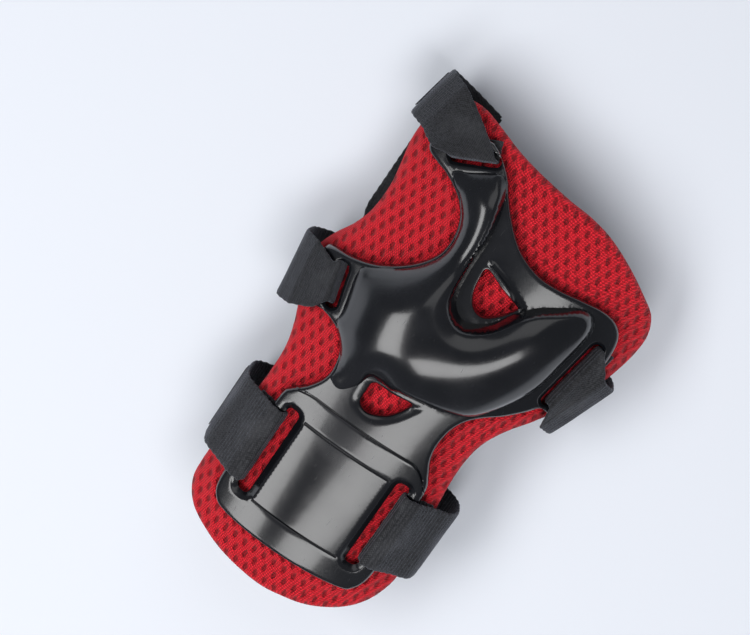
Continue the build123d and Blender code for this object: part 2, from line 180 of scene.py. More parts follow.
# ---- distances and areas ------------------------------------------------------------------------
def distance(points, line, closed=True):
    """Distance from each point to a closely spaced polyline."""
    tree, n = KDTree(len(line)), len(line)
    for i, p in enumerate(line):
        tree.insert((p[0], p[1], 0), i)
    tree.balance()
    nearest = np.array([tree.find((p[0], p[1], 0))[1] for p in points])
    best = np.full(len(points), np.inf)
    for side in (-1, 1):
        other = (nearest + side) % n if closed else np.clip(nearest + side, 0, n - 1)
        run, gap = line[other] - line[nearest], points - line[nearest]
        t = np.clip((gap * run).sum(1) / np.maximum((run ** 2).sum(1), 1e-9), 0, 1)
        best = np.minimum(best, np.linalg.norm(gap - t[:, None] * run, axis=1))
    return best


def within(points, loop):
    """Whether each point is inside a closed polyline."""
    x, y = points[:, 0:1], points[:, 1:2]
    a, b = loop, np.roll(loop, -1, axis=0)
    with np.errstate(divide="ignore", invalid="ignore"):
        crossing = (a[:, 1] > y) != (b[:, 1] > y)
        at = a[:, 0] + (y - a[:, 1]) * (b[:, 0] - a[:, 0]) / (b[:, 1] - a[:, 1])
        return (crossing & (x < at)).sum(1) % 2 == 1


def signed(points, loop):
    """Distance to a closed polyline, positive inside it."""
    return np.where(within(points, loop), 1, -1) * distance(points, loop)


def shifted(line, offset, closed=True):
    """The polyline moved sideways."""
    if closed:
        run = np.roll(line, -1, axis=0) - np.roll(line, 1, axis=0)
    else:
        run = np.gradient(line, axis=0)
    run /= np.maximum(np.linalg.norm(run, axis=1), 1e-9)[:, None]
    return line + offset * np.stack([-run[:, 1], run[:, 0]], axis=1)


# ---- sheets of triangles between two heights --------------------------------------------------------
ROW_HEIGHT = 0.866                         # rows of equal triangles, over the spacing
CELL = 1.2                                 # squares by which near points are looked up
LINE_GAP, GRID_GAP = 0.16, 0.62            # closest points on lines; on the grid, over the spacing


def between(points, loops):
    """Whether each point is inside the first loop and outside the others."""
    area = within(points, loops[0])
    for hole in loops[1:]:
        area &= ~within(points, hole)
    return area


def slab(name, loops, spacing, soft, top, bottom):
    """Closed mesh over the area inside the first loop and outside the others. `soft` are lines
    that the triangles follow, and top and bottom give its two heights at points in plan."""
    edges, fixed, start = [], np.vstack(loops), 0
    for loop in loops:
        edges += [(start + i, start + (i + 1) % len(loop)) for i in range(len(loop))]
        start += len(loop)
    (x0, y0), (x1, y1) = loops[0].min(0), loops[0].max(0)
    rows = np.arange(y0, y1, spacing * ROW_HEIGHT)
    grid = np.vstack([np.stack([np.arange(x0, x1, spacing) + spacing / 2 * (i % 2),
                                np.full(len(np.arange(x0, x1, spacing)), y)], axis=1)
                      for i, y in enumerate(rows)])
    free = np.vstack(list(soft) + [grid])
    firm = sum(len(line) for line in soft)
    area = between(free, loops)
    kept, cells = [], {}

    def cell_of(p):
        return int(p[0] // CELL), int(p[1] // CELL)

    def crowded(p, reach):
        cx, cy = cell_of(p)
        return any((p[0] - q[0]) ** 2 + (p[1] - q[1]) ** 2 < reach * reach
                   for i in (-1, 0, 1) for j in (-1, 0, 1) for q in cells.get((cx + i, cy + j), ()))

    def keep(p):
        kept.append(tuple(p))
        cells.setdefault(cell_of(p), []).append(tuple(p))

    for p in fixed:
        keep(p)
    for k, p in enumerate(free):
        if area[k] and not crowded(p, LINE_GAP if k < firm else GRID_GAP * spacing):
            keep(p)
    flat, _, faces, *_ = delaunay_2d_cdt([Vector(p) for p in kept], edges, [], 0, 1e-5, False)
    flat = np.array([tuple(p) for p in flat])
    faces = np.array(faces)
    faces = faces[between(flat[faces].mean(1), loops)]
    used, faces = np.unique(faces, return_inverse=True)
    flat, faces = flat[used], faces.reshape(-1, 3)
    turned = np.cross(flat[faces[:, 1]] - flat[faces[:, 0]], flat[faces[:, 2]] - flat[faces[:, 0]])
    faces[turned < 0] = faces[turned < 0][:, ::-1]
    n = len(flat)
    sides = {}
    for a, b in np.vstack([faces[:, (0, 1)], faces[:, (1, 2)], faces[:, (2, 0)]]):
        if (b, a) in sides:
            del sides[(b, a)]
        else:
            sides[(a, b)] = True
    points = np.vstack([np.column_stack([flat, top(flat)]), np.column_stack([flat, bottom(flat)])])
    polygons = ([tuple(f) for f in faces] + [tuple(f[::-1] + n) for f in faces]
                + [(b, a, a + n, b + n) for a, b in sides])
    return piece(name, points, polygons)


def piece(name, points, polygons, sharp=38):
    """A smooth-shaded object from points in millimetres from the wrist."""
    mesh = bpy.data.meshes.new(name)
    mesh.from_pydata([tuple(p) for p in (np.asarray(points) + WRIST) * MM], [],
                     [tuple(int(i) for i in f) for f in polygons])
    mesh.validate()
    mesh.shade_smooth()
    if sharp:
        mesh.set_sharp_from_angle(angle=radians(sharp))
    found = bpy.data.objects.new(name, mesh)
    bpy.context.scene.collection.objects.link(found)
    return found


# ---- palm shell -----------------------------------------------------------------------------------
SETTLE, OUTWARD = 3500, 40  # rounds in which the skin settles, and its slope is carried outwards
NEAR_EDGE = 1.3             # closer to the outline than this, the skin's own slope is not used


def inflated(loop, source, step=0.6):
    """Grids of a skin blown up over a flat outline: near the edge its height over the distance to
    the edge, which carries on smoothly past it, and the height itself."""
    low, high = loop.min(0) - 3, loop.max(0) + 3
    xs, ys = np.arange(low[0], high[0], step), np.arange(low[1], high[1], step)
    x, y = np.meshgrid(xs, ys)
    deep = signed(np.column_stack([x.ravel(), y.ravel()]), loop).reshape(x.shape)
    push, skin = source(x, y) * step * step, np.zeros_like(x)
    for _ in range(SETTLE):
        skin[1:-1, 1:-1] = 0.25 * (skin[:-2, 1:-1] + skin[2:, 1:-1] + skin[1:-1, :-2]
                                   + skin[1:-1, 2:] + push[1:-1, 1:-1])
        skin[deep <= 0] = 0
    known = deep > NEAR_EDGE
    ratio = np.where(known, skin / np.maximum(deep, 1), 0)
    weight = known.astype(float)
    for _ in range(OUTWARD):
        around, total = np.zeros_like(ratio), np.zeros_like(ratio)
        for dx, dy in ((0, 1), (0, -1), (1, 0), (-1, 0)):
            around += np.roll(ratio * weight, (dy, dx), (0, 1))
            total += np.roll(weight, (dy, dx), (0, 1))
        grown = total > 0
        ratio = np.where(known, ratio, np.where(grown, around / np.maximum(total, 1), ratio))
        weight = np.maximum(weight, grown)
    return (low, step, blurred(ratio, 12)), (low, step, blurred(skin, 6))


def sampled(grid, points):
    """The grid's value at each point, by a smooth cubic spline."""
    low, step, values = grid
    at = (points - low) / step
    cell = np.clip(np.floor(at).astype(int), 1, np.array(values.shape)[::-1] - 3)
    t = np.clip(at - cell, 0, 1)
    weights = np.stack([(1 - t) ** 3, 3 * t ** 3 - 6 * t ** 2 + 4,
                        -3 * t ** 3 + 3 * t ** 2 + 3 * t + 1, t ** 3]) / 6
    return sum(values[cell[:, 1] + j - 1, cell[:, 0] + i - 1] * weights[i, :, 0] * weights[j, :, 1]
               for i in range(4) for j in range(4))


def blurred(values, times):
    """The grid with each value drawn towards its four neighbours, several times."""
    for _ in range(times):
        values = 0.5 * values + 0.125 * sum(np.roll(values, shift, axis)
                                            for axis in (0, 1) for shift in (1, -1))
    return values


def blob(x, y, cx, cy, reach):
    """1 at a place, falling smoothly to nothing past its reach."""
    return np.exp(-((x - cx) ** 2 + (y - cy) ** 2) / reach ** 2)


def dome_source(x, y):
    """How hard each place is blown: more in the narrow arms, less towards their slots."""
    return (1 + 2.6 * blob(x, y, -5, 60, 17) + 0.8 * blob(x, y, 34, 48, 14)
            - 0.5 * blob(x, y, -28, 26, 12))


DOME_EDGE, DOME_SKIN = inflated(FOOT, dome_source)
DOME_RISE, CREASE_RISE = 9.4, 3.2  # height of the swell, and of the wall at the crease
FULLNESS = 0.72                    # below 1, the swell is flatter on top and steeper at its foot


def dome_swell(points):
    """The swell before it is brought to its height."""
    deep = np.maximum(signed(points, FOOT), 0)
    inner = ease(1.2, 3.2, deep)
    skin = deep * sampled(DOME_EDGE, points) * (1 - inner) + sampled(DOME_SKIN, points) * inner
    return np.maximum(skin, 0) ** FULLNESS


def run_out_grid(step=0.6):
    """How much of the crease's wall stands: none along the thumb side, all well inside."""
    low, _, values = DOME_SKIN
    x, y = np.meshgrid(low[0] + step * np.arange(values.shape[1]),
                       low[1] + step * np.arange(values.shape[0]))
    places = np.column_stack([x.ravel(), y.ravel()])
    away = ease(0, 12, distance(places, RUN_OUT, closed=False)).reshape(x.shape)
    return low, step, blurred(away, 45)


GENTLE = run_out_grid()
middle_x, middle_y = np.meshgrid(np.arange(-10, 30, 1.0), np.arange(15, 45, 1.0))
SWELL_TOP = dome_swell(np.column_stack([middle_x.ravel(), middle_y.ravel()])).max()


def dome_height(points):
    """A broad swell, and a steep wall up from the crease."""
    steep = ease(-0.2, 2.6, distance(points, CREASE, closed=False))
    return (DOME_RISE * dome_swell(points) / SWELL_TOP
            + CREASE_RISE * steep * sampled(GENTLE, points) * within(points, FOOT)
            * ease(0, 2.5, distance(points, RUN_OUT, closed=False)))


def rolled(inward, radius):
    """How far a rounded edge has fallen, at a distance inward from it."""
    t = np.clip(1 - inward / radius, 0, 1)
    return radius * (1 - np.sqrt(1 - t * t))


def step_line(x):
    """The moulded step across the shell below the wrist, which turns down at both ends."""
    return -11.6 - 7.5 * np.clip((x - 21) / 10, 0, 1) ** 2 - 2 * np.clip((-17 - x) / 10, 0, 1) ** 2


STEP = np.stack([np.arange(-27, 31.5, 0.5), step_line(np.arange(-27, 31.5, 0.5))], axis=1)


SCOOP_DEPTH, STEP_RISE, PANEL_RISE, LIP_RISE = 1.3, 0.4, 0.3, 0.9
STEP_GROOVE, PANEL_GROOVE = 0.6, 0.5          # how deep
SHELL_ROUND, WINDOW_ROUND = 1.3, 0.8          # radii of the rounded edges
SLOT_RIMS = {name: (2.4, 2.3) if "forearm" in name else (1.3, 1.2)
             for name in SLOTS}               # width and depth of the funnel round each slot


def groove(off, width=0.3):
    """1 on a line, falling to nothing a little way beside it."""
    return np.exp(-(off / width) ** 2)


def shell_top(p):
    x, y = p.T
    z = arch(x, y, ROOF + WALL) + dome_height(p)
    z -= SCOOP_DEPTH * ease(0, 4.2, signed(p, SCOOP))
    over = y - step_line(x)
    z += STEP_RISE * ease(-0.25, 0.25, over) - STEP_GROOVE * groove(over + 0.4)
    (left, right), (back, front) = PANEL_X, PANEL_Y
    across = ease(left - 0.2, left + 0.2, x) * (1 - ease(right - 0.2, right + 0.2, x))
    along = ease(back - 0.2, back + 0.2, y) * (1 - ease(front - 0.2, front + 0.2, y))
    z += PANEL_RISE * across * along
    for line in (back - 0.4, front + 0.4):
        z -= PANEL_GROOVE * across * groove(y - line)
    z += LIP_RISE * groove(distance(p, LIP, closed=False), 0.7)
    z -= rolled(distance(p, SHELL), SHELL_ROUND)
    for loop in (HALF_MOON, THREE_CORNER):
        z -= rolled(distance(p, loop), WINDOW_ROUND)
    for loop, (wide, deep) in zip(SLOT_LOOPS, SLOT_RIMS.values()):
        t = np.clip(1 - distance(p, loop) / wide, 0, 1)
        z -= deep * t ** 1.15
    return z


# width of the bar on the outer side of each slot, which the strap goes over
BARS = {"forearm_thumb": 6.4, "forearm_little": 6.2, "hand_thumb": 8.2, "hand_little": 4.6,
        "index": 4.2}


def shell_bottom(p):
    """The shell's hollow side: its rim lies on the pad, but for a gap under each bar."""
    x, y = p.T
    rim = 1 - ease(1.8, 2.3, distance(p, SHELL))
    for name, ((cx, cy), turn, length, width) in SLOTS.items():
        c, s = cos(radians(turn)), sin(radians(turn))
        out, along = (x - cx) * c + (y - cy) * s, (y - cy) * c - (x - cx) * s
        rim *= 1 - ((out > 0) & (out < BARS[name] + 6) & (np.abs(along) < length / 2 - 0.6))
    z = arch(x, y, ROOF) + dome_height(p)
    z = np.minimum(z, shell_top(p) - 0.8)
    return z * (1 - rim) + arch(x, y, GAP) * rim


def lines_beside(line, offsets, closed=True):
    """Copies of a line moved sideways, positive offsets to its left."""
    return [shifted(line, offset, closed) for offset in offsets]


shell_soft = lines_beside(SHELL, (0.12, 0.35, 0.75, 1.3, 1.9))
shell_soft += lines_beside(FOOT, (-0.35, 0, 0.22, 0.55, 1.1))
shell_soft += lines_beside(STEP, (-1.1, -0.75, -0.5, -0.25, 0, 0.25, 0.6), False)
for line, outward in zip(PANEL_LINES, (-1, 1)):
    shell_soft += [line + (0, outward * k) for k in (-0.6, -0.2, 0.2, 0.5, 0.8, 1.1)]
shell_soft += lines_beside(LIP, (-1.2, -0.6, 0, 0.6, 1.2), False)
for loop in (HALF_MOON, THREE_CORNER):
    shell_soft += lines_beside(loop, (0.15, 0.4, 0.8))
for loop, (wide, _) in zip(SLOT_LOOPS, SLOT_RIMS.values()):
    shell_soft += lines_beside(loop, (-0.2, -0.5 * wide, -wide + 0.1, -wide - 0.1))
palm_shell = slab("palm_shell_moulding", [SHELL, HALF_MOON, THREE_CORNER] + SLOT_LOOPS, 0.95,
                  shell_soft, shell_top, shell_bottom)


# ---- pad: mesh cover over the foam, and the lining below -------------------------------------------
MESH_ACROSS, MESH_ALONG = 4.3, 7.6   # the staggered pattern of the air mesh repeats this often
HOLE_ACROSS, HOLE_ALONG = 0.8, 1.6   # half the size of one hole
SLANT, SWAY = 0.12, 0.35             # how the mesh's columns lean, and how far they wander
SWAY_ALONG, SWAY_ACROSS = 7.0, 9.0   # over these lengths
WAVES = [(rng.uniform(0.12, 0.4), rng.uniform(0, 2 * pi), rng.uniform(0, 2 * pi)) for _ in range(9)]


def uneven(x, y):
    """The slow rise and fall of padded cloth."""
    return sum(np.sin((x * cos(turn) + y * sin(turn)) * rate + phase)
               for rate, turn, phase in WAVES) / 3


def dimples(x, y):
    """Depth, 0 to 1, of the long holes of the air mesh, in two staggered rows."""
    x = x + SLANT * y + SWAY * np.sin(y / SWAY_ALONG)
    y = y + SWAY * np.sin(x / SWAY_ACROSS)
    deep = np.zeros_like(x)
    for shift in (0, 0.5):
        u = ((x / MESH_ACROSS + shift) % 1 - 0.5) * MESH_ACROSS
        v = ((y / MESH_ALONG + shift) % 1 - 0.5) * MESH_ALONG
        deep = np.maximum(deep, np.exp(-((u / HOLE_ACROSS) ** 2 + (v / HOLE_ALONG) ** 2) ** 1.3))
    return deep


PAD_ROUND, UNDER_ROUND = 3.4, 2.8         # radii of the pad's edge, above and below
WAVINESS, BULGE, HOLE_DEPTH = 0.22, 0.75, 0.55
SETTLED = 0.3                             # the face lies this far below the arch, so that its
                                          # waves stay clear of the shell's rim


def pad_top(p):
    """The mesh face: it swells just past the shell's rim and is dimpled by the holes."""
    x, y = p.T
    inward, past_shell = distance(p, PAD_EDGE), -signed(p, SHELL)
    face = ease(1.0, 4.0, inward)
    z = arch(x, y) - rolled(inward, PAD_ROUND) + face * (WAVINESS * uneven(x, y) - SETTLED)
    z += BULGE * face * groove(past_shell - 2.6, 1.9) * ease(0.4, 1.6, past_shell)
    return z - HOLE_DEPTH * dimples(x, y) * ease(0.4, 2.0, inward)


def pad_under(p):
    x, y = p.T
    return arch(x, y, 1.0 - PAD) + rolled(distance(p, PAD_EDGE), UNDER_ROUND)


pad_cover = slab("pad_air_mesh", [PAD_EDGE], 0.85,
                 lines_beside(PAD_EDGE, (0.12, 0.4, 0.9, 1.6, 2.5, 3.5)), pad_top, pad_under)
LINING_EDGE = shifted(PAD_EDGE, 1.6)[::2]


def lining_top(p):
    return arch(*p.T, 1.2 - PAD) - rolled(distance(p, LINING_EDGE), 0.5)


def lining_under(p):
    x, y = p.T
    return arch(x, y, -PAD) + rolled(distance(p, LINING_EDGE), 0.6) + 0.12 * uneven(x, y)


pad_lining = slab("pad_lining_cloth", [LINING_EDGE], 2.2,
                  lines_beside(LINING_EDGE, (0.2, 0.7)), lining_top, lining_under)


# ---- straps -----------------------------------------------------------------------------------------
def unit(v):
    return v / np.linalg.norm(v)


def slot_place(name, s, h):
    """Point at a slot, s along the way the strap leaves and h off the pad's face."""
    (x, y), turn, *_ = SLOTS[name]
    slope = (arch(x + 1, y) - arch(x - 1, y)) / 2, (arch(x, y + 1) - arch(x, y - 1)) / 2
    normal = unit(np.array((-slope[0], -slope[1], 1)))
    out = np.array((cos(radians(turn)), sin(radians(turn)), 0))
    out = unit(out - normal * out.dot(normal))
    fall = (s * cos(radians(turn))) ** 2 / (2 * arch_radius(y))
    return np.array((x, y, arch(x, y))) + out * s + normal * (h - fall), np.cross(normal, out)


def station(point, across, half, bend):
    """A place that a strap passes, the direction across it, its half width, and the bend there."""
    return np.concatenate([point, across, [half]]), bend


def slot_station(name, s, h, half, bend=1.1):
    return station(*slot_place(name, s, h), half, bend)


def upright_station(origin, turn, s, z, half, bend):
    """A station in an upright plane through origin that points to `turn` in plan."""
    c, s_turn = cos(radians(turn)), sin(radians(turn))
    return station((origin[0] + s * c, origin[1] + s * s_turn, z), (-s_turn, c, 0), half, bend)


def run_of(stations, step):
    """Rows (point, across, half width) a step apart along stations with rounded corners."""
    rows, dense = stations, [stations[0][0]]
    for i in range(1, len(rows) - 1):
        before, (here, bend), after = rows[i - 1][0], rows[i], rows[i + 1][0]
        back, ahead = before[:3] - here[:3], after[:3] - here[:3]
        a, b = np.linalg.norm(back), np.linalg.norm(ahead)
        turn = pi - np.arccos(np.clip(back.dot(ahead) / (a * b), -1, 1))
        reach = min(bend * np.tan(turn / 2) if turn < 3 else bend, 0.47 * a, 0.47 * b)
        start, end = here + (before - here) * reach / a, here + (after - here) * reach / b
        for t in np.linspace(0, 1, 14):
            dense.append(start * (1 - t) ** 2 + 2 * here * t * (1 - t) + end * t * t)
    dense = np.array(dense + [rows[-1][0]])
    length = np.linalg.norm(np.diff(dense[:, :3], axis=0), axis=1)
    keep = np.concatenate(([True], length > 1e-6))
    dense, run = dense[keep], np.concatenate(([0], np.cumsum(length[keep[1:]])))
    at = np.arange(0, run[-1], step)
    return at, np.stack([np.interp(at, run, dense[:, k]) for k in range(7)], axis=1)


def strap(name, runs, rib=0.26, pitch=1.6, thickness=1.3):
    """Woven elastic along each run of stations, with ribs across it and soft edges."""
    points, polygons, flat = [], [], []
    for stations in runs:
        at, rows = run_of(stations, pitch / 6)
        along = np.gradient(rows[:, :3], axis=0)
        along /= np.linalg.norm(along, axis=1)[:, None]
        side = rows[:, 3:6] / np.linalg.norm(rows[:, 3:6], axis=1)[:, None]
        normal = np.cross(side, along)
        normal /= np.linalg.norm(normal, axis=1)[:, None]
        v = np.concatenate([[-1, -0.985, -0.94], np.linspace(-0.86, 0.86, 15), [0.94, 0.985, 1]])
        half_thick = np.sqrt(np.clip(1 - np.abs(v) ** 26, 0, 1)) * 0.8 + 0.2
        phase = rng.uniform(0, 2 * pi)
        ribs = rib * (np.abs(np.sin(pi * at / pitch + 0.35 * np.sin(at / 5 + phase))) - 0.6)
        ribs = ribs[:, None] * (0.85 + 0.3 * np.sin(v * 5 + phase)[None])
        wander = 0.1 * np.sin(at / 6.1 + phase)[:, None] + 0.12 * np.sin(
            v * 3 + at[:, None] / 4.3 + phase) * np.abs(v)
        start, columns = len(points), 2 * len(v)
        for i, row in enumerate(rows):
            spread = rows[i, :3] + side[i] * (v * row[6] * (1 + 0.008 * sin(at[i] * 1.9)))[:, None]
            spread += normal[i] * wander[i][:, None]
            thick = (thickness / 2 * half_thick + ribs[i] * (np.abs(v) < 0.97))[:, None]
            points += list(spread + normal[i] * thick) + list((spread - normal[i] * thick)[::-1])
            flat += [(at[i], w * row[6]) for w in v] + [(at[i], w * row[6]) for w in v[::-1]]
        for i in range(len(rows) - 1):
            a, b = start + i * columns, start + (i + 1) * columns
            polygons += [(a + k, b + k, b + (k + 1) % columns, a + (k + 1) % columns)
                         for k in range(columns)]
        last, n = start + (len(rows) - 1) * columns, len(v)
        for end, flip in ((start, 1), (last, -1)):
            polygons += [(end + k, end + k + 1, end + columns - 2 - k, end + columns - 1 - k)[::flip]
                         for k in range(n - 1)]
    found = piece(name, points, polygons, sharp=0)
    layer = found.data.uv_layers.new(name="along")
    corner = np.empty(len(found.data.loops), int)
    found.data.loops.foreach_get("vertex_index", corner)
    layer.data.foreach_set("uv", (np.array(flat)[corner] * 0.1).ravel())
    return found


# Each strap runs in an upright plane through one of these points; HAND_TURN is the hand straps'
# slant across the hand, in degrees.
FOREARM, HAND, LITTLE, INDEX = (0, -38.5), (4, 26.75), (59.5, 34), (-27, 93)
HAND_TURN = 7.44
OVER, UNDER, SEWN = 6.4, 1.3, 2.8  # above the pad's face: over a bar, under it, sewn double
LOW, HIGH = 0.8, 4.5               # above the ground: the closing strap, and the anchor over it
FOREARM_HALF, HAND_HALF = 15, 14   # half widths


def over_arch(origin, turn, s, lift, half, bend):
    """A station over the pad, in an upright plane through origin that points to `turn` in plan."""
    c, s_turn = cos(radians(turn)), sin(radians(turn))
    x, y = origin[0] + s * c, origin[1] + s * s_turn
    return station((x, y, arch(x, y, lift)), (-s_turn, c, 0), half, bend)


def down(origin, turn, *stops):
    """Upright stations of one plane, each given as (s, z, half, bend)."""
    return [upright_station(origin, turn, *stop) for stop in stops]


def leaving(name, tuck, half):
    """Under the bar, up through the slot, and back over the bar."""
    width = SLOTS[name][3]
    edge, near = width / 2 + BARS[name], 1.3 if "forearm" in name else 1.1 - width / 2
    return [slot_station(name, edge + tuck, UNDER, half), slot_station(name, near, UNDER, half),
            slot_station(name, near, OVER, half)]


forearm_strap = strap("forearm_closing_strap", [
    leaving("forearm_thumb", 5.5, FOREARM_HALF)
    + [over_arch(FOREARM, 180, 30.5, OVER, FOREARM_HALF, 4),
       over_arch(FOREARM, 180, 38, SEWN, FOREARM_HALF, 9)]
    + down(FOREARM, 180, (43.6, 34, FOREARM_HALF, 10), (45.4, 25, FOREARM_HALF, 16),
           (45.4, 9, FOREARM_HALF, 16), (37, LOW, FOREARM_HALF, 16), (-35, LOW, FOREARM_HALF, 1))])
forearm_anchor = strap("forearm_anchor_strap", [
    leaving("forearm_little", 5.5, FOREARM_HALF)
    + [over_arch(FOREARM, 0, 32.5, OVER, FOREARM_HALF, 4),
       over_arch(FOREARM, 0, 39.5, SEWN, FOREARM_HALF, 9)]
    + down(FOREARM, 0, (45.2, 33, FOREARM_HALF, 10), (47.2, 25, FOREARM_HALF, 16),
           (47.2, 13, FOREARM_HALF, 16), (38, HIGH, FOREARM_HALF, 16), (-7, HIGH, FOREARM_HALF, 1))])
hand_anchor = strap("hand_anchor_strap", [
    leaving("hand_thumb", 4, 7.6)
    + [over_arch(HAND, 180 + HAND_TURN, 44, OVER, 9, 4),
       over_arch(HAND, 180 + HAND_TURN, 52.5, OVER, 12.6, 3)]
    + down(HAND, 180 + HAND_TURN, (57.8, 30, 13.2, 7), (57.8, 13, 12.6, 15), (49, HIGH, 12.5, 15),
           (12.5, HIGH, 12.5, 1))], rib=0.07, pitch=0.9)
hand_strap = strap("hand_closing_strap", [
    leaving("hand_little", 1.5, 13.6)
    + [over_arch(LITTLE, -20, -3.2, OVER + 0.8, HAND_HALF, 2),
       over_arch(LITTLE, -20, 0.6, OVER - 1, HAND_HALF, 3)]
    + down(LITTLE, -20, (2.4, 28, HAND_HALF, 7), (2.4, 11, HAND_HALF, 15), (-6, LOW, HAND_HALF, 15))
    + down(HAND, HAND_TURN, (40, LOW, HAND_HALF, 5), (-45, LOW, HAND_HALF, 1))])
# The thumb's band comes in two parts: down past the index finger, and behind the thumb gap to the
# hand anchor.
thumb_band = strap("thumb_side_band", [
    leaving("index", 0.4, 8.7)
    + [station((-29, 90, arch(-29, 90, OVER)), (-0.62, -0.78, 0), 9.6, 6),
       over_arch(INDEX, 168, 12.5, OVER, 10.4, 5)]
    + down(INDEX, 168, (19.5, 27, 10.6, 8), (19.5, 12, 10, 13), (10, 5.5, 10, 13), (-4, 5.5, 10, 1)),
    [station(place, (1, 0, 0), 10, bend)
     for place, bend in (((-30.5, 101, 5.5), 1), ((-31, 88, 5.5), 9), ((-34, 78, 1.4), 9),
                         ((-34.2, 47, 1.4), 9), ((-31, 39, 6.15), 9), ((-30.5, 14, 6.15), 1))]],
    rib=0.07, pitch=0.9)


# ---- materials --------------------------------------------------------------------------------------
class Paint:
    """Builds one node material, with short calls for the nodes used here."""

    def __init__(self, name, **values):
        self.material = bpy.data.materials.new(name)
        self.material.use_nodes = True
        self.tree = self.material.node_tree
        self.shader = self.tree.nodes["Principled BSDF"]
        for key, value in values.items():
            self.shader.inputs[key.replace("_", " ")].default_value = value

    def node(self, kind, inputs=(), **settings):
        """A new node; each input is another node's output, or a constant."""
        made = self.tree.nodes.new("ShaderNode" + kind)
        for key, value in settings.items():
            setattr(made, key, value)
        for key, value in dict(inputs).items():
            if isinstance(value, bpy.types.NodeSocket):
                self.tree.links.new(value, made.inputs[key])
            else:
                made.inputs[key].default_value = value
        return made

    def math(self, operation, a, b=0.0, c=0.0):
        return self.node("Math", {0: a, 1: b, 2: c}, operation=operation).outputs[0]

    def noise(self, place, scale, detail=3.0, rough=0.55):
        return self.node("TexNoise", {"Vector": place, "Scale": scale, "Detail": detail,
                                      "Roughness": rough}).outputs["Fac"]

    def spread(self, value, low, high, to_low=0.0, to_high=1.0):
        return self.node("MapRange", {"Value": value, 1: low, 2: high, 3: to_low, 4: to_high},
                         interpolation_type="SMOOTHSTEP").outputs[0]

    def mix(self, factor, a, b):
        return self.node("Mix", {0: factor, 6: a, 7: b}, data_type="RGBA").outputs[2]

    def bump(self, height, distance, strength=1.0, normal=None):
        inputs = {"Height": height, "Distance": distance, "Strength": strength}
        if normal is not None:
            inputs["Normal"] = normal
        return self.node("Bump", inputs).outputs[0]

    def into(self, **sockets):
        for key, value in sockets.items():
            self.tree.links.new(value, self.shader.inputs[key.replace("_", " ")])
        return self.material


def moulded_plastic():
    """Polished black moulding: a faint flow ripple, fine scuffs, and a worn bloom."""
    p = Paint("black_moulding", Base_Color=(0.004, 0.0045, 0.006, 1), Roughness=0.15,
              Coat_Weight=0.4, Coat_Roughness=0.1)
    p.shader.inputs["IOR"].default_value = 1.52
    place = p.node("TexCoord").outputs["Object"]
    cloudy = p.noise(place, 38, 4)
    scuffs = p.noise(p.node("Mapping", {"Vector": place, "Scale": (1.0, 0.12, 1.0),
                                        "Rotation": (0, 0, 0.5)}).outputs[0], 1500, 2)
    rough = p.math("ADD", p.spread(cloudy, 0.3, 0.75, 0.17, 0.27),
                   p.spread(scuffs, 0.66, 0.78, 0.0, 0.12))
    tone = p.mix(p.spread(cloudy, 0.35, 0.8), (0.003, 0.0035, 0.005, 1), (0.008, 0.0085, 0.011, 1))
    ripple = p.bump(p.noise(place, 160, 2), 0.00006, 0.5)
    fine = p.bump(p.noise(place, 2600, 2), 0.000012, 0.5, ripple)
    return p.into(Base_Color=tone, Roughness=rough, Normal=fine)


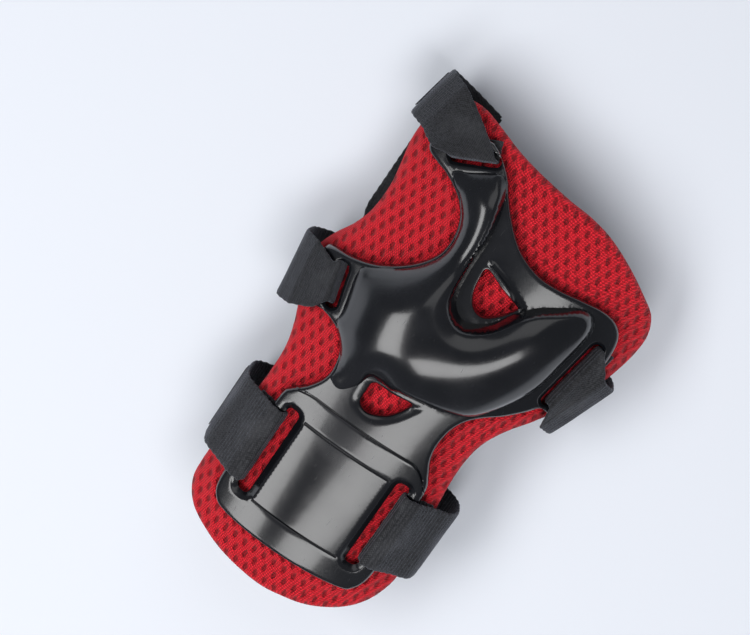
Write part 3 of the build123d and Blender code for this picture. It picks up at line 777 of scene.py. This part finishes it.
def air_mesh():
    """Red spacer knit: long staggered holes between ridges of fine diagonal loops."""
    p = Paint("red_air_mesh", Roughness=0.72, Sheen_Weight=0.15, Sheen_Roughness=0.45,
              Sheen_Tint=(1.0, 0.35, 0.35, 1))
    p.shader.inputs["Specular IOR Level"].default_value = 0.28
    place = p.node("TexCoord").outputs["Object"]
    split = p.node("SeparateXYZ", {0: place}).outputs
    x = p.math("MULTIPLY_ADD", split[0], 1000, -WRIST[0])
    y = p.math("MULTIPLY_ADD", split[1], 1000, -WRIST[1])
    high = p.math("MULTIPLY", split[2], 1000)

    def sway(value, length):
        return p.math("MULTIPLY", p.math("SINE", p.math("DIVIDE", value, length)), SWAY)

    def from_hole(value, pitch, shift, half):
        """How far off the middle of the nearest hole, in halves of its size."""
        turns = p.math("FRACT", p.math("MULTIPLY_ADD", value, 1 / pitch, shift))
        return p.math("MULTIPLY", p.math("SUBTRACT", turns, 0.5), pitch / half)

    bent_x = p.math("ADD", p.math("MULTIPLY_ADD", y, SLANT, x), sway(y, SWAY_ALONG))
    bent_y = p.math("ADD", y, sway(bent_x, SWAY_ACROSS))
    holes = []
    for shift in (0.0, 0.5):
        u = from_hole(bent_x, MESH_ACROSS, shift, HOLE_ACROSS)
        v = from_hole(bent_y, MESH_ALONG, shift, HOLE_ALONG)
        holes.append(p.math("SQRT", p.math("MULTIPLY_ADD", u, u, p.math("MULTIPLY", v, v))))
    near = p.math("ADD", p.math("MINIMUM", *holes), p.spread(p.noise(place, 700, 2), 0.2, 0.8, -0.3, 0.3))
    hole = p.spread(near, 1.25, 0.45)
    # knit loops: two crossed waves, finer than the holes
    down_x = p.math("MULTIPLY_ADD", high, 0.9, bent_x)
    down_y = p.math("MULTIPLY_ADD", high, 0.8, bent_y)
    first = p.math("SINE", p.math("MULTIPLY", p.math("MULTIPLY_ADD", down_y, 0.55, down_x), 4.4))
    second = p.math("SINE", p.math("MULTIPLY", p.math("MULTIPLY_ADD", down_x, -0.35, down_y), 4.8))
    knit = p.math("ADD", p.math("MULTIPLY", first, second),
                  p.spread(p.noise(place, 2400, 2), 0.25, 0.75, -0.5, 0.5))
    loops = p.spread(knit, -0.9, 0.9)
    patchy = p.spread(p.noise(place, 120, 3), 0.35, 0.65)
    # painted shade: the yarn runs from dark red in the low parts of the knit loops to bright red on their
    # tops, following the same waves as the bump
    thread = p.mix(loops, (0.40, 0.003, 0.010, 1), (1.0, 0.020, 0.040, 1))
    thread = p.mix(p.math("MULTIPLY", patchy, 0.35), thread, (0.78, 0.010, 0.024, 1))
    # painted shade: the holes are darkened to a deep red, on top of the dimples that the pad's geometry
    # already has
    colour = p.mix(p.math("MULTIPLY", hole, 0.75), thread, (0.16, 0.002, 0.006, 1))
    height = p.math("SUBTRACT", p.math("MULTIPLY", loops, 0.5), hole)
    return p.into(Base_Color=colour, Normal=p.bump(height, 0.0009, 1.0))


YARN_ALONG, YARN_ACROSS = 0.72, 0.9  # pitch of the weave


def woven(name, dark, light, ribbed):
    """Woven elastic: yarns along and across the strap, fuzz, and paler worn high spots. `ribbed` is
    the pitch of its cords, 0 for none, or None for stitching, patterned along the object's axes."""
    p = Paint(name, Roughness=0.78, Sheen_Weight=0.3, Sheen_Roughness=0.4,
              Sheen_Tint=(0.8, 0.85, 1.0, 1))
    p.shader.inputs["Specular IOR Level"].default_value = 0.3
    place = p.node("TexCoord").outputs["UV" if ribbed is not None else "Object"]
    step = 10.0 if ribbed is not None else 1000.0
    split = p.node("SeparateXYZ", {0: place}).outputs
    along, across = p.math("MULTIPLY", split[0], step), p.math("MULTIPLY", split[1], step)
    weft = p.math("SINE", p.math("MULTIPLY", along, 2 * pi / YARN_ALONG))
    warp = p.math("SINE", p.math("MULTIPLY", across, 2 * pi / YARN_ACROSS))
    scale = 900 if ribbed is None else 9.0
    yarn = p.math("ADD", p.math("MULTIPLY", weft, warp),
                  p.spread(p.noise(place, scale, 3), 0.2, 0.8, -0.8, 0.8))
    face = p.spread(yarn, -1.0, 1.0)
    if ribbed:
        cord = p.math("SINE", p.math("MULTIPLY", along, 2 * pi / ribbed))
        # painted shade: the grooves between the cords are darkened
        face = p.math("MULTIPLY", face, p.spread(cord, -0.9, 0.6, 0.45, 1.0))
    worn = p.spread(p.noise(place, scale / 14, 4), 0.45, 0.75)
    # painted shade: the weave is darker in its dips and lighter on its raised yarns, by the same field as
    # the bump; the noise mixed into it is random tone
    tone = p.mix(face, dark, light)
    tone = p.mix(p.math("MULTIPLY", worn, 0.3), tone, tuple(1.6 * c for c in light[:3]) + (1,))
    return p.into(Base_Color=tone, Roughness=p.spread(worn, 0, 1, 0.82, 0.66),
                  Normal=p.bump(face, 0.00022, 0.8))


def tufted(name, dark, light, cell, depth):
    """Hook tape's rows of stiff pins, or loop tape's tangled nap, by the size of a cell."""
    p = Paint(name, Roughness=0.7, Sheen_Weight=0.25, Sheen_Roughness=0.5)
    place = p.node("TexCoord").outputs["Object"]
    cells = p.node("TexVoronoi", {"Vector": place, "Scale": 1 / cell,
                                  "Randomness": 0.3 if cell > 0.001 else 1.0}).outputs["Distance"]
    tuft = p.math("MULTIPLY", p.spread(cells, 0.55, 0.1), p.spread(p.noise(place, 1800), 0.2, 0.7, 0.5, 1))
    # painted shade: the tape is darker in the gaps between the tufts and lighter on the tufts, by the same
    # mask as the bump
    return p.into(Base_Color=p.mix(tuft, dark, light), Normal=p.bump(tuft, depth, 0.9))


def brushed_lining():
    """Dark lining with a short nap, greyed where it has rubbed."""
    p = Paint("lining_cloth", Roughness=0.88, Sheen_Weight=0.5, Sheen_Roughness=0.35)
    place = p.node("TexCoord").outputs["Object"]
    nap = p.noise(p.node("Mapping", {"Vector": place, "Scale": (1, 0.35, 1)}).outputs[0], 1400, 4)
    worn = p.spread(p.noise(place, 40, 3), 0.35, 0.7)
    tone = p.mix(p.spread(nap, 0.3, 0.7), (0.016, 0.016, 0.018, 1), (0.045, 0.045, 0.05, 1))
    tone = p.mix(p.math("MULTIPLY", worn, 0.3), tone, (0.06, 0.06, 0.066, 1))
    return p.into(Base_Color=tone, Normal=p.bump(nap, 0.0004, 0.7))


SHELL_BLACK, RED_MESH, LINING_CLOTH = moulded_plastic(), air_mesh(), brushed_lining()
RIBBED = woven("ribbed_elastic", (0.006, 0.006, 0.007, 1), (0.046, 0.047, 0.052, 1), 1.6)
SATIN = woven("satin_elastic", (0.006, 0.006, 0.007, 1), (0.032, 0.033, 0.037, 1), 0)
THREAD = woven("sewing_thread", (0.03, 0.03, 0.034, 1), (0.11, 0.11, 0.12, 1), None)
HOOKS = tufted("hook_tape", (0.010, 0.010, 0.011, 1), (0.05, 0.05, 0.054, 1), 0.0012, 0.0004)
LOOPS = tufted("loop_tape", (0.014, 0.014, 0.016, 1), (0.07, 0.07, 0.076, 1), 0.0006, 0.0004)


# ---- what rides where -------------------------------------------------------------------------------
def dress(obj, material, replaced=()):
    obj.data.materials.clear()
    obj.data.materials.append(material)
    if replaced:
        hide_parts(*replaced)


for obj, material, slot, replaced in (
        (palm_shell, SHELL_BLACK, "shell_plastic", ["palm_shell"]),
        (pad_cover, RED_MESH, "mesh_fabric", ["pad_mesh_cover", "pad_foam"]),
        (pad_lining, LINING_CLOTH, "lining_fabric", ["pad_lining"]),
        (forearm_anchor, RIBBED, "elastic", ["forearm_anchor"]),
        (hand_anchor, SATIN, "elastic", ["hand_anchor"]),
        (thumb_band, SATIN, "elastic", ["thumb_band"])):
    dress(obj, material, replaced)
    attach(obj, "guard")

dress(forearm_strap, RIBBED, ["forearm_strap_base", "forearm_strap_flap"])
dress(hand_strap, RIBBED, ["hand_strap_base", "hand_strap_flap"])


def row(x, y, z):
    """A point from the wrist in the row frame, in metres."""
    return tuple((np.array((x, y, z)) + WRIST) * MM)


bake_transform(forearm_strap)
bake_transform(hand_strap)

# the CAD's own tapes and stitching stay, with finishes of their own
for name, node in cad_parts.items():
    finish = (THREAD if name.endswith(("tacks", "stitching")) else HOOKS if "hook" in name
              else LOOPS if "loop" in name else None)
    if finish is not None:
        node.data.materials.clear()
        node.data.materials.append(finish)

# ---- floor, light and camera ------------------------------------------------------------------------
FLOOR_HALF, FLOOR_Z = 4, -0.0004
floor_mesh = bpy.data.meshes.new("floor")
floor_mesh.from_pydata([(sx * FLOOR_HALF, sy * FLOOR_HALF, FLOOR_Z)
                        for sx, sy in ((-1, -1), (1, -1), (1, 1), (-1, 1))], [], [(0, 1, 2, 3)])
floor = bpy.data.objects.new("floor", floor_mesh)
bpy.context.scene.collection.objects.link(floor)
pale = Paint("pale_floor", Base_Color=(0.80, 0.83, 0.89, 1), Roughness=0.9)
pale.shader.inputs["Specular IOR Level"].default_value = 0.1
floor_mesh.materials.append(pale.material)


def softbox(name, place, size, power, aim=(0.0, 0.0, 0.04)):
    light = bpy.data.lights.new(name, "AREA")
    light.shape, light.size, light.size_y, light.energy = "RECTANGLE", size[0], size[1], power
    lamp = bpy.data.objects.new(name, light)
    bpy.context.scene.collection.objects.link(lamp)
    lamp.location = place
    lamp.rotation_euler = (Vector(aim) - Vector(place)).to_track_quat("-Z", "Y").to_euler()


softbox("left_softbox", (-0.53, -0.26, 0.90), (0.95, 0.40), 6.7)
softbox("right_softbox", (0.36, -0.28, 1.0), (0.95, 0.38), 6.2)
softbox("finger_fill", (-0.2, 1.3, 1.2), (1.2, 1.2), 3.4)
world = bpy.data.worlds.new("studio")
world.use_nodes = True
world.node_tree.nodes["Background"].inputs["Color"].default_value = (0.86, 0.90, 1.0, 1)
world.node_tree.nodes["Background"].inputs["Strength"].default_value = 0.18
bpy.context.scene.world = world
bpy.context.scene.view_settings.view_transform = "Standard"

# The camera looks down from a little to the finger side, with the fingers up and to the right.
TILT, DISTANCE = radians(12), 0.576
ACROSS, ALONG = 0.824, 0.566  # shares of the picture's width that run across and along the hand
ahead = Vector((0, -sin(TILT), -cos(TILT)))
up_hand = Vector((0, cos(TILT), -sin(TILT)))
right = ACROSS * Vector((1, 0, 0)) + ALONG * up_hand
up = -ALONG * Vector((1, 0, 0)) + ACROSS * up_hand
aim = Vector(row(-17.25, 20.4, 49)) + 0.0012 * right + 0.003 * up
lens = bpy.data.cameras.new("camera")
lens.lens, lens.sensor_width = 80, 36
camera = bpy.data.objects.new("camera", lens)
bpy.context.scene.collection.objects.link(camera)
turned = Matrix((right, up, -ahead)).transposed()
camera.matrix_world = Matrix.Translation(aim - ahead * DISTANCE) @ turned.to_4x4()
bpy.context.scene.camera = camera
